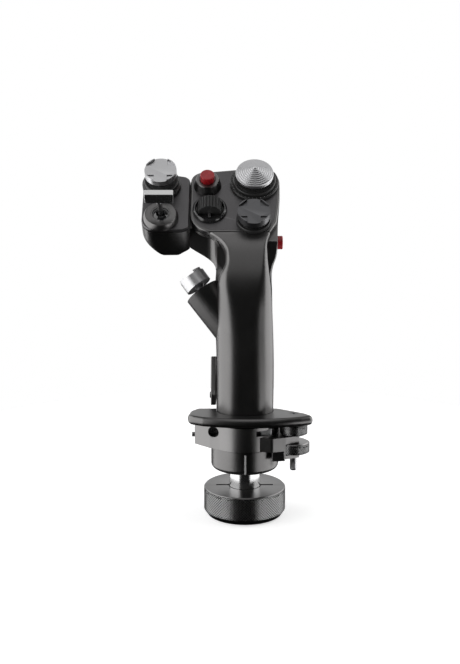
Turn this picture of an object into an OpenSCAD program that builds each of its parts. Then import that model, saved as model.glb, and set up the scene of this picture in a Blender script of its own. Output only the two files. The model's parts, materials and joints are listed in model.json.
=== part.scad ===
// Flight stick grip on a threaded quick-release ring.
// Origin: on the grip's upright axis, at the bottom face of the locking ring.
// +Z up, -Y towards the pilot, +X to the pilot's right. Millimetres.

/* [Coupling] */
// Outer diameter of the locking ring
ring_d = 52; // [48:0.5:56]
// Height of the locking ring
ring_h = 18; // [17:0.5:20]
// Minor diameter of the coupling thread
thread_d = 33.8; // [33.4:0.1:34.2]
// Length of the coupling thread
thread_len = 10; // [8:0.5:10]
// Diameter of the steel connector shaft
shaft_d = 20; // [18:0.5:20]
// Diameter of the lower collar
lower_d = 42.7; // [40:0.1:43]
// Height of the lower collar's bottom face
lower_z = 30.6; // [30:0.1:33]
// Height of the clamp collar's bottom face
clamp_z = 46; // [45:0.5:47]
// Diameter of the clamp collar
clamp_d = 45; // [44:0.5:46]
// Height of the clamp collar's top face
clamp_top = 61; // [60.5:0.1:61.1]

/* [Hand rest] */
// Height of the hand rest's underside
rest_z = 61.7; // [61.5:0.1:62]
// Thickness of the hand rest
rest_t = 6; // [4:0.5:7]
// Upward travel of the hand rest
rest_travel = 4; // [2:0.5:4]
// Diameter of the height adjusting wheel
adjust_d = 20; // [17:0.5:20]
// Diameter of the lock wheel
lock_d = 17.2; // [15:0.1:18]
// Diameter of the adjusting stud
stud_d = 4.4; // [4:0.1:4.4]

/* [Handle] */
// Width of the handle
grip_w = 35; // [34:0.5:36]
// Depth of the handle, pilot side to far side
grip_depth = 38; // [36:0.5:40]
// Wall thickness of the shells
wall = 2.5; // [2:0.1:2.6]

/* [Head] */
// Slope of the head panel from the horizontal
tilt = 46; // [44:0.5:48]
// Height of the panel's lower edge
panel_z = 179.3; // [178:0.1:181]
// Thickness of the panels
panel_t = 2.5; // [2:0.1:2.5]
// Thickness of the pod, panel included
pod_t = 27; // [25:0.5:28]
// Diameter of the four-way hats
hat_d = 20.2; // [19:0.1:20.5]
// Diameter of the cone hat
cone_d = 24; // [23:0.1:25]
// Diameter of the thumb wheel
wheel_d = 15.2; // [14:0.1:15.4]
// Diameter of the round push buttons
button_d = 9; // [8:0.1:9]

/* [Hidden] */
$fn = 64;

eps = 0.01;            // overshoot of a cut past the face it leaves
fit = 0.05;            // radial clearance of a running fit
gap = 0.3;             // clearance round a moving part

// Coupling
ring_r = ring_d / 2;
thread_r = thread_d / 2;
shaft_r = shaft_d / 2;
seat_r = shaft_r + fit;
flange_z = 11.5;
flange_t = 2.5;
flange_r = thread_r - 1;
washer_z = flange_z + flange_t + 0.1;
washer_t = 0.8;
ring_web_z = washer_z + washer_t + 0.1;
shaft_bore_r = 6.5;
plug_top = 22;

// Hand rest and its adjuster
stud_pos = [30.3, -10];
set_screw_z = 51.4;
arm_top = 54.6;
arm_bottom = 40.8;
slot_z = 43;
slot_top = 50.2;
rest_top = rest_z + rest_t;

// Handle
half_w = grip_w / 2;
grip_front = -15;
grip_back = grip_front + grip_depth;
grip_bottom = clamp_top + 0.2;
seam_y = 4;
corner_r = 13;
neck_y = 4;
sweep_r = (neck_y - grip_front) / (1 - cos(tilt));
sweep_z = panel_z - sweep_r * sin(tilt);
head_back = 47.5;
head_top_u = 51;
tray_t = 4;             // depth of the rim that carries the head panel
rim_w = 1.7;           // width of the shell's rim round the head panel
tube_top = 140;
round_top = 140;       // height where the handle's corners stop being round
hollow_round_top = 144.6;

// Controls, each at [across, up the slope] on the panel
left_hat_at = [-53, 38.2];
right_hat_at = [5.3, 9];
cone_hat_at = [6.2, 40.4];
toggle_at = [-52.5, 11.3];
wheel_at = [-22.1, 18];
button_at = [-23.7, 38.5];
pivot_z = -1;
hat_hole_r = 8;
side_button_at = [18.4, 20, 171.6];
stalk_lean = 37.5;
stalk_back = 17;
stalk_foot = [-7.4, 4, 117.6];
stalk_len = 31;
stalk_r = 11.6;
trigger_pivot = [36, 181];
brake_pivot = [17.5, 73];

black = [0.09, 0.09, 0.10];
dark = [0.16, 0.16, 0.17];
grey = [0.33, 0.33, 0.34];
silver = [0.70, 0.70, 0.71];
red = [0.65, 0.05, 0.06];
brassy = [0.80, 0.62, 0.25];
green = [0.05, 0.28, 0.14];

// ---- Helpers ----

module ring(outer_r, inner_r, h) {
    difference() {
        cylinder(r = outer_r, h = h);
        translate([0, 0, -eps]) cylinder(r = inner_r, h = h + 2 * eps);
    }
}

// A slab of a side-view outline (depth, height), spread across X
module across(from_x, to_x) {
    translate([from_x, 0, 0]) rotate([90, 0, 90]) linear_extrude(to_x - from_x) children();
}

// A slab of a front-view outline (across, height), spread along Y
module along(from_y, to_y) {
    translate([0, to_y, 0]) rotate([90, 0, 0]) linear_extrude(to_y - from_y) children();
}

// The panel's own frame: X across, Y up the slope, Z out of the panel
module on_panel(at = [0, 0]) {
    translate([0, neck_y, panel_z]) rotate([tilt, 0, 0]) translate([at[0], at[1], 0]) children();
}

// The stalk's own frame: Z along the stalk, out of its open end
module on_stalk(along_it = 0) {
    translate(stalk_foot) rotate([0, -stalk_lean, 0]) translate([0, 0, along_it]) children();
}

// The side hat leans away from the pilot on the stalk's end
module on_stalk_end() {
    on_stalk(stalk_len) rotate([-stalk_back, 0, 0]) children();
}

function panel_point(u, n) =
    [neck_y + u * cos(tilt) - n * sin(tilt), panel_z + u * sin(tilt) + n * cos(tilt)];
function arc_points(centre, r, from_a, to_a, steps) =
    [for (i = [0:steps]) let (a = from_a + (to_a - from_a) * i / steps)
        centre + r * [cos(a), sin(a)]];

// ---- Coupling ----

module locking_ring() {
    knurl_z = 3.3;
    slot_w = 2;
    color(dark) difference() {
        rotate_extrude() polygon([[thread_r, 0], [ring_r - 2, 0], [ring_r, knurl_z],
            [ring_r, ring_h - 0.6], [ring_r - 0.6, ring_h], [shaft_r + 0.4, ring_h],
            [shaft_r + 0.4, ring_web_z], [thread_r + 0.4, ring_web_z],
            [thread_r + 0.4, thread_len], [thread_r, thread_len]]);
        for (side = [0, 180]) rotate(side)
            translate([shaft_r, -slot_w / 2, ring_h - 1]) cube([8.2, slot_w, 2]);
    }
}

module thrust_washer() {
    color(silver) translate([0, 0, washer_z]) ring(flange_r, shaft_r + gap, washer_t);
}

module connector_shaft() {
    color(silver) difference() {
        union() {
            translate([0, 0, flange_z]) cylinder(r = flange_r, h = flange_t);
            translate([0, 0, flange_z]) cylinder(r = shaft_r, h = clamp_z - 0.1 - flange_z);
        }
        translate([0, 0, flange_z - eps]) cylinder(r = shaft_bore_r, h = clamp_z);
    }
}

module plug_housing() {
    recess = 5.5;
    color(black) translate([0, 0, flange_z]) difference() {
        cylinder(r = shaft_bore_r - fit, h = plug_top - flange_z);
        translate([0, 0, -eps]) cylinder(r = 4.7, h = recess + eps);
        translate([0, 0, recess - eps]) cylinder(r = 1.2, h = plug_top);
    }
}

module plug_pins() {
    pin_r = 0.5;
    color(brassy) for (i = [0:4]) rotate(i * 72 + 36)
        translate([3, 0, flange_z + 0.6]) cylinder(r = pin_r, h = 4.9);
}

module lower_collar() {
    h = clamp_z - 0.1 - lower_z;
    r = lower_d / 2;
    round_r = 3;
    color(black) difference() {
        rotate_extrude() polygon(concat([[seat_r, lower_z]],
            arc_points([r - round_r, lower_z + round_r], round_r, -90, 0, 6),
            [[r, lower_z + h], [seat_r, lower_z + h]]));
        translate([-0.4, -r - 1, lower_z - 1]) cube([0.8, 1.6, h + 2]);
    }
}

module arm_plan() {
    polygon([[9, -20.6], [16.5, -21.2], [25, -19.6], [33.7, -16.8], [33.7, -3.5],
        [20, 6], [9, 6]]);
}

module clamp_collar() {
    leg_x = 24;
    color(black) difference() {
        union() {
            translate([0, 0, clamp_z]) cylinder(r = clamp_d / 2, h = clamp_top - clamp_z);
            translate([0, 0, clamp_z]) linear_extrude(clamp_top - clamp_z) polygon([[-31.7, 4],
                [-31.7, -2.3], [-21.9, -12.1], [-16.5, -15], [-4, -12], [-4, 4]]);
            translate([0, 0, clamp_z]) linear_extrude(arm_top - clamp_z) arm_plan();
            translate([0, 0, arm_bottom]) linear_extrude(arm_top - arm_bottom)
                intersection() {
                    arm_plan();
                    translate([leg_x, -30]) square([20, 40]);
                }
        }
        translate([0, 0, clamp_z - eps]) cylinder(r = seat_r, h = 20);
        translate([stud_pos[0], stud_pos[1], 0]) {
            translate([0, 0, arm_bottom - 1]) cylinder(r = stud_d / 2 + fit, h = 30);
            translate([0, 0, arm_top]) cylinder(r = lock_d / 2 + gap, h = 10);
            translate([0, 0, slot_z]) cylinder(r = adjust_d / 2 + gap, h = slot_top - slot_z);
        }
        clamp_screw_axis() {
            translate([0, 0, -8]) cylinder(r = 3.4, h = 20);
            translate([0, 0, -24]) cylinder(r = 2.05, h = 20);
        }
        translate([-40, 0.5, set_screw_z]) rotate([0, 90, 0]) cylinder(r = 1.55, h = 20);
    }
}

// Axis of the clamp screw, pointing at the pilot out of the left lobe
module clamp_screw_axis() {
    translate([-19.7, -12.5, 56.8]) rotate([90, 0, 0]) children();
}

module clamp_screw() {
    color(silver) clamp_screw_axis() difference() {
        union() {
            translate([0, 0, -7.9]) cylinder(r = 3.2, h = 3.4);
            translate([0, 0, -14.3]) cylinder(r = 2, h = 7);
        }
        translate([0, 0, -6.5]) cylinder(r = 1.5, h = 5, $fn = 6);
    }
}

module set_screw() {
    color(silver) translate([-33.5, 0.5, set_screw_z]) rotate([0, 90, 0]) difference() {
        cylinder(r = 1.5, h = 12);
        translate([0, 0, -1]) cylinder(r = 0.7, h = 2.5, $fn = 6);
    }
}

// ---- Hand rest ----

module knurled_wheel(r, bottom, top) {
    chamfer = 0.5;
    translate([stud_pos[0], stud_pos[1], 0]) rotate_extrude() polygon([
        [stud_d / 2 + fit, bottom], [r - chamfer, bottom], [r, bottom + chamfer],
        [r, top - chamfer], [r - chamfer, top], [stud_d / 2 + fit, top]]);
}

module adjust_wheel() {
    color(dark) knurled_wheel(adjust_d / 2, slot_z + gap, slot_top - gap);
}

module lock_wheel() {
    color(dark) knurled_wheel(lock_d / 2, arm_top + gap, rest_z - gap);
}

module adjust_stud() {
    foot = 31.4;
    color(silver) translate([stud_pos[0], stud_pos[1], 0]) rotate_extrude() polygon([
        [0, foot], [stud_d / 2 - 0.6, foot], [stud_d / 2, foot + 0.6],
        [stud_d / 2, rest_z + 3], [0, rest_z + 3]]);
}

module grip_plan(spread = 0) {
    r = corner_r + spread;
    x = half_w - corner_r;
    y_low = grip_front + corner_r;
    y_high = grip_back - corner_r;
    for (cx = [-x, x], cy = [y_low, y_high]) translate([cx, cy]) circle(r = r);
    translate([-x - r, y_low]) square([2 * (x + r), y_high - y_low]);
    translate([-x, y_low - r]) square([2 * x, y_high - y_low + 2 * r]);
}

module rest_plan() {
    front_r = 92;
    difference() {
        intersection() {
            translate([3, front_r - 25.2]) circle(r = front_r, $fn = 160);
            union() {
                translate([-35.2, -30]) square([53.7, 34.6]);
                polygon([[10, -30], [42.3, -30], [42.3, -14], [38, -8.5], [29, -1.5], [18.4, 4.6],
                    [10, 4.6]]);
            }
            polygon([[-40, -40], [60, -40], [60, 20], [-29, 20], [-29, 4.6], [-35.2, -4]]);
        }
        grip_plan(gap + 0.1);
    }
}

module hand_rest() {
    rim = 1.2;
    color(black) difference() {
        translate([0, 0, rest_z]) linear_extrude(rest_t) rest_plan();
        translate([stud_pos[0], stud_pos[1], 0]) {
            translate([0, 0, rest_z - 1]) cylinder(r = stud_d / 2 + fit, h = 4);
            translate([0, 0, rest_z]) cylinder(r = 1.6, h = 20);
            translate([0, 0, rest_top - rim]) cylinder(r = 2.6, h = 20);
        }
    }
}

module hand_rest_screw() {
    color(dark) translate([stud_pos[0], stud_pos[1], 0]) {
        translate([0, 0, rest_top - 1.2]) difference() {
            cylinder(r = 2.5, h = 1.1);
            translate([0, 0, 0.4]) cylinder(r = 1, h = 2, $fn = 6);
        }
        translate([0, 0, rest_z + 3]) cylinder(r = 1.5, h = rest_t - 4.2);
    }
}

// ---- Handle and head shells ----

module core_tube() {
    color(grey) difference() {
        translate([0, 0, clamp_z]) ring(shaft_r, 6, tube_top - clamp_z);
        shell_screw_holes();
    }
}

// Side view (depth, height) of the whole grip below the panel
module side_outline() {
    polygon(concat(
        [[grip_back, grip_bottom], [grip_front, grip_bottom]],
        arc_points([grip_front + sweep_r, sweep_z], sweep_r, 180, 180 - tilt, 8),
        [panel_point(0, 0), panel_point(head_top_u + 3, 0)],
        arc_points(panel_point(head_top_u - 3, -12), 9.2, 80, 10, 4),
        [[head_back, 188], [30, 157], [grip_back, 138]]));
}

// Side view of everything on the pilot's side of the shells' seam
module front_band() {
    polygon([[seam_y, 0], [-60, 0], [-60, 260], [80, 260], panel_point(80, -tray_t),
        panel_point(-tray_t * tan(tilt), -tray_t)]);
}

// Front view (across, height) of the pilot-side shell up to the panel
module front_outline() {
    polygon([[-half_w, 0], [half_w, 0], [half_w, 106], [15.2, 150], [13.4, 164], [13.2, 174],
        [15.4, 181], [17, 190], [-30, 190], [-32, 184.2], [-22, 181.5], [-16.5, 177.5],
        [-13, 172], [-12.7, 166], [-14, 159], [-half_w, 149]]);
}

// Front view (across, height) of the far-side shell
module rear_outline() {
    polygon([[-half_w, 0], [half_w, 0], [half_w, 106], [17.5, 143], [16.5, 158], [17.4, 163],
        [19, 169], [19, 179], [20.5, 186], [22.5, 200], [22.5, 240], [-34.2, 240],
        [-34.2, 168], [-24.9, 162.8], [-20.2, 159.2], [-half_w, 152]]);
}

// Panel outline in the panel's own frame
module head_outline() {
    polygon(concat([[-19, 0], [15.1, 0], [20.1, 8.5], [21.8, 23.3], [22.5, 36.3]],
        arc_points([13.5, 42], 9, 0, 60, 4),
        [[-5.9, 52.9], [-19.1, 51.4]],
        arc_points([-26.4, 42.6], 8, 100, 180, 4),
        [[-34.4, 25], [-34.4, 12], [-32, 6], [-25, 2.2]]));
}

module head_prism(low, high, inset = 0) {
    on_panel() translate([0, 0, low]) linear_extrude(high - low)
        offset(delta = -inset) head_outline();
}

// Space inside the pilot-side shell, reaching through the seam
module front_space() {
    intersection() {
        along(-60, 80) offset(delta = -wall) front_outline();
        across(-60, 60) offset(delta = -wall) side_outline();
        translate([-50, -60, 0]) cube([100, 80, 185]);
        round_grip(-wall, hollow_round_top);
    }
    head_prism(-tray_t - wall - 1, 0, wall);
}

// Space inside the far-side shell
module rear_space() {
    intersection() {
        along(-60, 80) offset(delta = -wall) rear_outline();
        across(-60, 60) offset(delta = -wall) difference() {
            side_outline();
            front_band();
        }
        union() {
            cube_below(172);
            head_prism(-80, 0, wall);
        }
        round_grip(-wall, hollow_round_top);
    }
}

module cube_below(top) {
    translate([-100, -100, 0]) cube([200, 200, top]);
}

// Round upright corners up to a height, and none above it
module round_grip(spread, top) {
    linear_extrude(top + 1) grip_plan(spread);
    translate([-100, -100, top]) cube([200, 200, 200]);
}

module front_shell() {
    color(black) difference() {
        intersection() {
            union() {
                intersection() {
                    along(-60, 80) front_outline();
                    across(-60, 60) side_outline();
                    cube_below(181);
                    round_grip(0, round_top);
                }
                head_prism(-tray_t, 0);
            }
            across(-60, 60) intersection() {
                side_outline();
                front_band();
            }
        }
        front_space();
        head_prism(-panel_t, 2, rim_w - fit);
        stalk_bore();
        rest_foot();
        control_holes();
    }
}

module rest_foot() {
    translate([0, 0, grip_bottom - 1]) cylinder(r = seat_r, h = 5);
}

// Ears inside the far-side shell that carry the trigger's pin
module trigger_ears() {
    across(-9.6, 9.6) intersection() {
        side_outline();
        polygon([[31, 176], [46, 176], [48, 187], [36, 185.5], [31, 183]]);
    }
}

module rear_shell() {
    slot_w = 13.6;
    color(black) difference() {
        union() {
            difference() {
                intersection() {
                    along(-60, 80) rear_outline();
                    across(-60, 60) difference() {
                        side_outline();
                        front_band();
                    }
                    union() {
                        cube_below(176);
                        head_prism(-80, -tray_t);
                    }
                    round_grip(0, round_top);
                }
                rear_space();
                front_space();
            }
            trigger_ears();
        }
        rest_foot();
        stalk_bore();
        pod_screw_holes();
        panel_hole(cone_hat_at, hat_hole_r + 2);
        across(-slot_w / 2, slot_w / 2)
            polygon([[32, 160], [60, 160], [60, 190], [31, 190], [27, 184], [27, 165]]);
        translate([-12, trigger_pivot[0], trigger_pivot[1]]) rotate([0, 90, 0])
            cylinder(r = 1.5 + fit, h = 24);
        on_side_button() translate([0, 0, -7]) cylinder(r = 5.55, h = 20);
        translate([-24, brake_pivot[0], brake_pivot[1]]) rotate([0, 90, 0])
            cylinder(r = 2, h = 12);
        shell_screw_holes();
    }
}

screw_heights = [84, 128];

// Screws that draw the two shells together from the far side
module shell_screw_holes() {
    for (z = screw_heights) translate([0, grip_back + 1, z]) rotate([90, 0, 0])
        cylinder(r = 1.55, h = grip_back - shaft_r + 5);
}

module shell_screws() {
    color(silver) for (z = screw_heights) translate([0, grip_back + 1.2, z]) rotate([90, 0, 0]) {
        cylinder(r = 2.6, h = 1.1);
        translate([0, 0, 1]) cylinder(r = 1.5, h = grip_back - shaft_r + 3);
    }
}

module panel_hole(at, r) {
    depth = 11;
    on_panel(at) translate([0, 0, -depth]) cylinder(r = r, h = depth + 1);
}

// Holes that the head's four controls drop through
module control_holes() {
    panel_hole(right_hat_at, hat_hole_r);
    panel_hole(cone_hat_at, hat_hole_r + 2);
    panel_hole(wheel_at, 9.7);
    panel_hole(button_at, 6.1);
}

module head_panel() {
    color(dark) difference() {
        head_prism(-panel_t, 0, rim_w);
        control_holes();
    }
}

// ---- Pod on the left of the head ----

pod_right = -34.6;
pod_left = -64.7;

module pod_outline() {
    polygon(concat([[pod_right, 4], [pod_right, 42]],
        arc_points([pod_right - 5, 42], 5, 0, 80, 4),
        arc_points([pod_left + 11, 38.5], 11, 80, 180, 6),
        arc_points([pod_left + 9, 10.5], 9, 180, 262, 5),
        [[pod_right - 4, 1.5], [pod_right, 4]]));
}

// Cross-section (across, out of the panel) that rounds the pod's floor
module pod_section() {
    polygon(concat([[pod_right, 1], [pod_left, 1], [pod_left, -6]],
        arc_points([pod_left + 16.5, -pod_t + 16.2], 16.3, 190, 270, 7),
        [[pod_right - 9, -pod_t + 1.4], [pod_right - 4, -pod_t + 4], [pod_right, -pod_t + 7]]));
}

module pod_body(inset, low, high) {
    intersection() {
        on_panel() translate([0, 0, low]) linear_extrude(high - low)
            offset(delta = -inset) pod_outline();
        on_panel([0, 60]) rotate([90, 0, 0]) linear_extrude(70)
            offset(delta = -inset) pod_section();
    }
}

module pod_housing() {
    color(black) difference() {
        pod_body(0, -pod_t - 5, -panel_t);
        pod_body(wall, -pod_t - 5, 0);
        pod_screw_holes();
    }
}

module pod_panel() {
    color(dark) difference() {
        pod_body(0, -panel_t, 0);
        panel_hole(left_hat_at, hat_hole_r);
        panel_hole(toggle_at, 7.2);
    }
}

pod_bolt_at = [[14, -11], [32, -11]];

// Bolts through the pod's inner wall into the head's left wall: [up the slope, out]
module pod_screw_holes() {
    for (b = pod_bolt_at) on_panel([-36, b[0]]) translate([-3, 0, b[1]]) rotate([0, 90, 0])
        cylinder(r = 1.55, h = 8);
}

module pod_screws() {
    color(silver) for (b = pod_bolt_at) on_panel([-36, b[0]])
        translate([-4.2, 0, b[1]]) rotate([0, 90, 0]) {
            cylinder(r = 2.6, h = 2.6);
            cylinder(r = 1.5, h = 7.6);
        }
}

// ---- Boards and wiring ----

module main_board() {
    color(green) on_panel() translate([-26, 9, -14.6]) cube([37.5, 29, 1.6]);
}

module pod_board() {
    color(green) on_panel() translate([-60.5, 8, -13.6]) cube([19.3, 34, 1.6]);
}

module wiring_harness() {
    r = 2.4;
    bend_z = 156;
    color(dark) {
        translate([0, 0, plug_top]) cylinder(r = r, h = bend_z - plug_top);
        translate([0, 0, bend_z]) sphere(r = r);
        translate([0, 0, bend_z]) rotate([-53.3, 0, 0]) cylinder(r = r, h = 26.8);
    }
}

// ---- Stalk on the left of the handle ----

module stalk_bore() {
    on_stalk(-8) cylinder(r = stalk_r + 0.1, h = stalk_len + 16);
}

module side_stalk() {
    color(black) difference() {
        intersection() {
            on_stalk(-4) cylinder(r = stalk_r, h = stalk_len + 8);
            on_stalk_end() translate([-40, -40, -60]) cube([80, 80, 60]);
            translate([-80, -40, 60]) cube([80 - half_w + wall, 80, 120]);
        }
        on_stalk_end() translate([0, 0, -16]) cylinder(r = 7.6, h = 20);
        on_stalk_end() translate([0, 0, -1.4]) cylinder(r = 9, h = 5);
    }
}

// ---- Levers on the far side ----

module trigger() {
    w = 12;
    color(dark) difference() {
        across(-w / 2, w / 2) polygon([[33, 178], [33, 185], [40, 187], [47.5, 185], [52.4, 179],
            [52.4, 172], [49.4, 164], [49, 155], [51.5, 149], [48.4, 148], [44.6, 154],
            [44.8, 166], [43, 172], [38, 171.5], [36, 173]]);
        translate([-10, trigger_pivot[0], trigger_pivot[1]]) rotate([0, 90, 0])
            cylinder(r = 1.5 + fit, h = 20);
        translate([-2.2, 30, 177]) cube([4.4, 10, 8]);
    }
}

module trigger_pin() {
    color(silver) translate([-9, trigger_pivot[0], trigger_pivot[1]]) rotate([0, 90, 0])
        cylinder(r = 1.5, h = 18);
}

module trigger_spring() {
    wire_r = 0.4;
    color(silver) for (i = [-1:1])
        translate([i * 1.1, trigger_pivot[0], trigger_pivot[1]]) rotate([0, 90, 0])
            rotate_extrude() translate([2.3, 0]) circle(r = wire_r, $fn = 24);
}

module trigger_switch() {
    color(dark) {
        translate([-5, 24.2, 166]) cube([10, 6.8, 12]);
        translate([-1, 31, 171.5]) cube([2, 3.1, 2]);
    }
}

module brake_lever() {
    inner_x = -half_w - 0.8;
    outer_x = -21.9;
    color(black) difference() {
        union() {
            across(outer_x, inner_x) polygon([[25, 62.2], [13.5, 62.2], [12.5, 74], [16, 79],
                [25.5, 93], [28, 96.5], [31, 95], [31, 70]]);
            across(outer_x, 14) polygon([[27.6, 72], [27.6, 95.8], [28.4, 96.5], [31, 95],
                [31, 72]]);
        }
        translate([-30, brake_pivot[0], brake_pivot[1]]) rotate([0, 90, 0])
            cylinder(r = 2 + fit, h = 20);
    }
}

module brake_pin() {
    color(silver) translate([-22.6, brake_pivot[0], brake_pivot[1]]) rotate([0, 90, 0])
        cylinder(r = 1.95, h = 10);
}

// ---- Four-way hats: base, gimbal and cap, in the control's own frame ----

// Base cup that drops through its panel, with stacked rings above it
module hat_base(cup_r, rings) {
    cup_depth = 9;
    bore_r = cup_r - 1.4;
    difference() {
        union() {
            translate([0, 0, -cup_depth]) cylinder(r = cup_r, h = cup_depth);
            for (ring_spec = rings) translate([0, 0, ring_spec[1]])
                cylinder(r = ring_spec[0], h = ring_spec[2]);
        }
        translate([0, 0, -cup_depth + 1.2]) cylinder(r = bore_r, h = 30);
        translate([-20, 0, pivot_z]) rotate([0, 90, 0]) cylinder(r = 0.8 + fit, h = 40);
    }
}

// Ring that tilts on pins across X and carries the cap's pins along Y
module hat_gimbal(cup_r) {
    outer_r = cup_r - 1.9;
    translate([0, 0, pivot_z]) difference() {
        union() {
            translate([0, 0, -1.2]) cylinder(r = outer_r, h = 2.4);
            translate([-cup_r + 0.3, 0, 0]) rotate([0, 90, 0])
                cylinder(r = 0.8, h = 2 * cup_r - 0.6);
        }
        translate([0, 0, -3]) cylinder(r = outer_r - 1.5, h = 6);
        translate([0, -20, 0]) rotate([-90, 0, 0]) cylinder(r = 0.7 + fit, h = 40);
    }
}

// Stem and cross pin that carry a cap
module hat_stem(cup_r, stem_top) {
    pin_len = 2 * (cup_r - 2.1);
    translate([0, 0, pivot_z - 1.5]) cylinder(r = 2, h = stem_top - pivot_z + 1.5);
    translate([0, -pin_len / 2, pivot_z]) rotate([-90, 0, 0]) cylinder(r = 0.7, h = pin_len);
}

// Flat cap whose four corners step down, like the top of a castle tower
module castle_cap(r, low, high) {
    step = 1.2;
    corner = r * 0.45;
    difference() {
        translate([0, 0, low]) cylinder(r = r, h = high - low);
        for (a = [0:90:270]) rotate(a)
            translate([corner, corner, high - step]) cube([r, r, 2 * step]);
    }
}

left_rings = [[12.3, 0, 3.6], [11, 3.6, 2.6]];
right_rings = [[10.8, 0, 2.4]];
cone_rings = [[15.5, 0, 2.2], [13.6, 2.2, 2]];
side_rings = [[8.8, -1.3, 1.9]];
cup_r = 7.8;
side_cup_r = 6.9;

module left_hat_base() {
    color(black) on_panel(left_hat_at) hat_base(cup_r, left_rings);
}

module left_hat_gimbal() {
    color(silver) on_panel(left_hat_at) hat_gimbal(cup_r);
}

module left_hat_cap() {
    color(silver) on_panel(left_hat_at) {
        hat_stem(cup_r, 10.8);
        castle_cap(hat_d / 2, 10.8, 15.5);
    }
}

module right_hat_base() {
    color(black) on_panel(right_hat_at) hat_base(cup_r, right_rings);
}

module right_hat_gimbal() {
    color(silver) on_panel(right_hat_at) hat_gimbal(cup_r);
}

module right_hat_cap() {
    color(grey) on_panel(right_hat_at) {
        hat_stem(cup_r, 5);
        castle_cap(hat_d / 2, 5, 10);
    }
}

module cone_hat_base() {
    color(black) on_panel(cone_hat_at) hat_base(cup_r + 2, cone_rings);
}

module cone_hat_gimbal() {
    color(silver) on_panel(cone_hat_at) hat_gimbal(cup_r + 2);
}

module cone_hat_cap() {
    steps = 10;
    base_z = 7.6;
    skirt = 2;
    rise = 0.55;
    color(silver) on_panel(cone_hat_at) {
        hat_stem(cup_r + 2, base_z);
        rotate_extrude() polygon(concat([[0, base_z], [cone_d / 2, base_z]],
            [for (i = [0:steps - 1], edge = [0, 1])
                [cone_d / 2 * (1 - i / steps), base_z + skirt + rise * (i + edge)]],
            [[0, base_z + skirt + rise * steps]]));
    }
}

module side_hat_base() {
    color(black) on_stalk_end() hat_base(side_cup_r, side_rings);
}

module side_hat_gimbal() {
    color(silver) on_stalk_end() hat_gimbal(side_cup_r);
}

module side_hat_cap() {
    color(silver) on_stalk_end() {
        hat_stem(side_cup_r, 4.2);
        castle_cap(8.5, 4.2, 13.2);
    }
}

// ---- Toggle ----

module toggle_boss() {
    color(black) on_panel(toggle_at) difference() {
        union() {
            rotate_extrude() polygon([[0, 0], [11, 0], [8.4, 4.5], [0, 4.5]]);
            translate([0, 0, -9]) cylinder(r = 7, h = 9);
        }
        translate([0, 0, -7.8]) cylinder(r = 5.4, h = 20);
        translate([0, 0, 3.6]) cylinder(r = 6.2, h = 20);
        translate([-20, 0, 0.5]) rotate([0, 90, 0]) cylinder(r = 1, h = 28);
    }
}

module toggle_pin() {
    color(silver) on_panel(toggle_at) translate([-6.8, 0, 0.5]) rotate([0, 90, 0])
        cylinder(r = 0.95, h = 13.6);
}

module toggle_lever() {
    bar = [17.5, 4.4, 7.6];
    bar_z = 15.8;
    color(silver) on_panel(toggle_at) difference() {
        union() {
            translate([0, 0, 0.5]) cylinder(r = 1.9, h = bar_z);
            translate([-2.6, 0, 0.5]) rotate([0, 90, 0]) cylinder(r = 2.6, h = 5.2);
            translate([-bar[0] / 2, -bar[1] / 2, bar_z]) cube(bar);
        }
        translate([-20, 0, 0.5]) rotate([0, 90, 0]) cylinder(r = 0.95 + fit, h = 40);
    }
}

// ---- Thumb wheel ----

wheel_axis_z = 1.2;
wheel_w = 9.4;

module thumb_wheel_bezel() {
    color(black) on_panel(wheel_at) difference() {
        union() {
            cylinder(r = 11, h = 2.4);
            translate([0, 0, -9]) cylinder(r = 9.6, h = 9);
        }
        translate([-8, -5.1, -20]) cube([16, 10.2, 40]);
        translate([0, -7.8, wheel_axis_z]) rotate([-90, 0, 0]) cylinder(r = 1, h = 15.6);
    }
}

module thumb_wheel_axle() {
    color(silver) on_panel(wheel_at) translate([0, -7.5, wheel_axis_z]) rotate([-90, 0, 0])
        cylinder(r = 0.95, h = 15);
}

module thumb_wheel() {
    ribs = 24;
    color(black) on_panel(wheel_at) translate([0, -wheel_w / 2, wheel_axis_z])
        rotate([-90, 0, 0]) difference() {
            cylinder(d = wheel_d, h = wheel_w);
            translate([0, 0, -1]) cylinder(r = 0.95 + fit, h = wheel_w + 2);
            for (i = [0:ribs - 1]) rotate(i * 360 / ribs)
                translate([wheel_d / 2 - 0.5, -0.4, -1]) cube([2, 0.8, wheel_w + 2]);
        }
}

// ---- Push buttons: collar, button and spring, in the button's own frame ----

module button_collar(flange_r, top_r, lip, sleeve_r) {
    bore_r = button_d / 2 + 0.1;
    difference() {
        union() {
            rotate_extrude() polygon([[0, 0], [flange_r, 0], [top_r, lip], [0, lip]]);
            translate([0, 0, -8]) cylinder(r = sleeve_r, h = 8);
        }
        translate([0, 0, -7]) cylinder(r = bore_r, h = 20);
    }
}

module button_body(top) {
    r = button_d / 2;
    difference() {
        translate([0, 0, -3]) cylinder(r = r, h = top + 3);
        translate([0, 0, -4]) cylinder(r = r - 1.2, h = 5);
    }
}

// Return spring, drawn at its pressed length
module button_spring(low) {
    coils = 4;
    wire_r = 0.35;
    for (i = [0:coils - 1]) translate([0, 0, low + wire_r + i * 0.9])
        rotate_extrude() translate([2.4, 0]) circle(r = wire_r, $fn = 24);
}

module top_button_collar() {
    color(black) on_panel(button_at) button_collar(8.8, 7.4, 6.2, 6);
}

module top_button() {
    color(red) on_panel(button_at) button_body(10.4);
}

module top_button_spring() {
    color(silver) on_panel(button_at) button_spring(-7);
}

module on_side_button() {
    translate(side_button_at) rotate([0, 90, 0]) children();
}

module side_button_collar() {
    color(black) on_side_button() difference() {
        union() {
            translate([0, 0, 0.65]) cylinder(r = 6.2, h = 0.5);
            translate([0, 0, -6.5]) cylinder(r = 5.5, h = 7.5);
        }
        translate([0, 0, -5.5]) cylinder(r = 4.35, h = 20);
    }
}

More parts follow.
